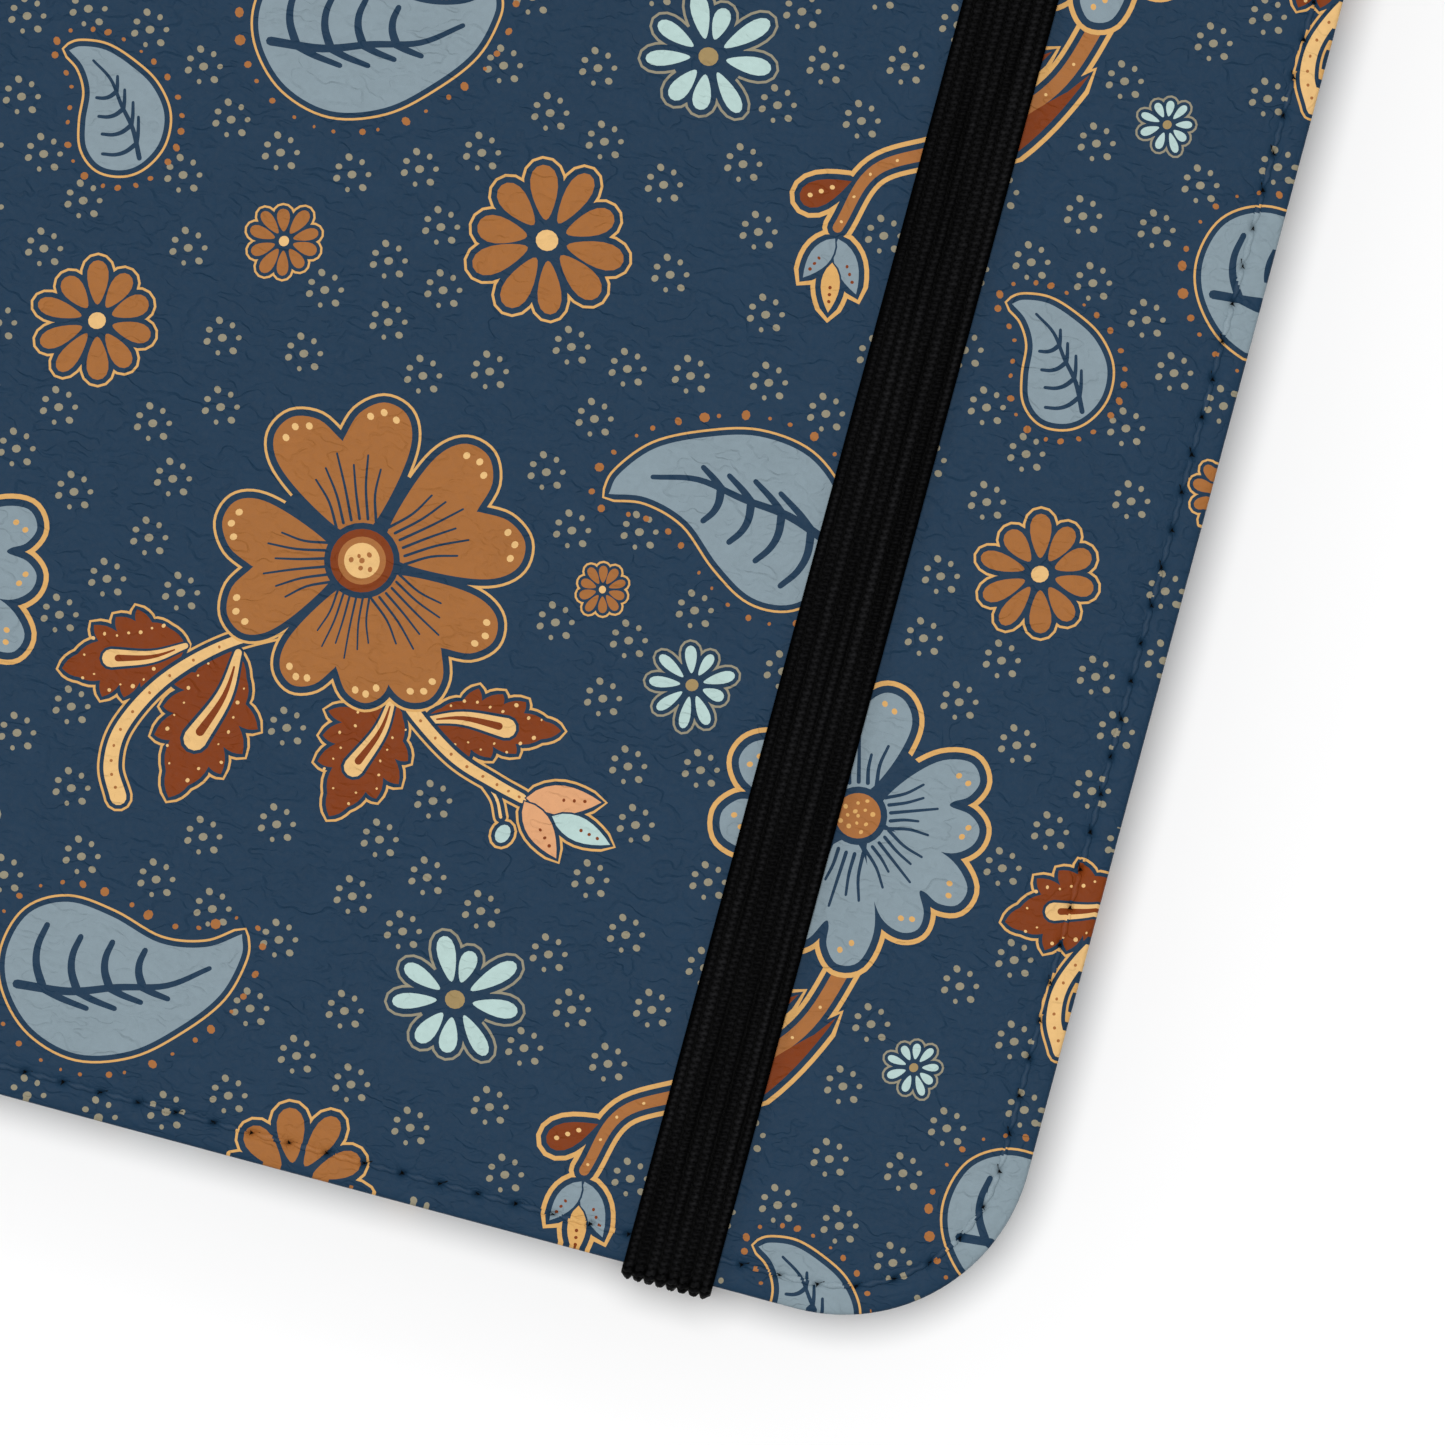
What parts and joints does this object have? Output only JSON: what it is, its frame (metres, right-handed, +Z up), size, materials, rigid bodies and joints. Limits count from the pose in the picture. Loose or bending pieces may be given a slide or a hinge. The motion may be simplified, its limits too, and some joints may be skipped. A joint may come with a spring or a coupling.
{
  "type": "folio phone case",
  "caption": "Closed folio phone case: stitched leather-cloth covers on boards, folding spine, moulded phone shell, card slots and an elastic strap closure.",
  "frame": {"origin": "middle of the closed case's footprint, on the surface that the back cover lies on", "axes": "+X from the spine to the free edge, +Y towards the top of the phone, +Z up through the front cover"},
  "size_m": [0.087, 0.1702, 0.0185],
  "materials": {
    "outer_leather": "fine-grained satin leather-cloth with an all-over print",
    "board": "grey paper board",
    "lining": "brushed microfibre",
    "edge_thread": "twisted polyester thread",
    "pocket_leather": "fine-grained satin leather-cloth",
    "pocket_thread": "twisted polyester thread",
    "shell_plastic": "fine spark-eroded texture",
    "adhesive": "foam tape",
    "elastic": "ribbed woven elastic"
  },
  "bodies": {
    "back": {"back_cover_leather": "outer_leather", "back_cover_board": "board", "back_cover_lining": "lining", "back_edge_thread": "edge_thread", "camera_window_thread": "edge_thread", "strap_tail_bottom": "elastic", "strap_tail_top": "elastic", "strap_tack_bottom": "edge_thread", "strap_tack_top": "edge_thread", "shell_adhesive_pad": "adhesive", "phone_shell": "shell_plastic"},
    "spine": {"spine_leather": "outer_leather", "spine_board": "board", "spine_lining": "lining", "spine_thread": "edge_thread"},
    "front_cover": {"front_cover_leather": "outer_leather", "front_cover_board": "board", "front_cover_lining": "lining", "front_edge_thread": "edge_thread", "cash_pocket_panel": "pocket_leather", "card_slot_first": "pocket_leather", "card_slot_second": "pocket_leather", "card_slot_third": "pocket_leather", "card_slot_thread": "pocket_thread"},
    "strap": {"elastic_strap": "elastic"}
  },
  "joints": [
    {"name": "spine_fold", "type": "hinge", "parent": "back", "child": "spine", "pos_m": [-0.04258, 0, 0.0011], "axis": [0, -1, 0], "range_deg": [0, 90]},
    {"name": "cover_fold", "type": "hinge", "parent": "spine", "child": "front_cover", "pos_m": [-0.04258, 0, 0.01625], "axis": [0, -1, 0], "range_deg": [0, 90]},
    {"name": "strap_swing", "type": "hinge", "parent": "back", "child": "strap", "pos_m": [0.02297, 0, 0.0013], "axis": [0, 1, 0], "range_deg": [0, 180], "deforming": ["elastic_strap"]}
  ]
}
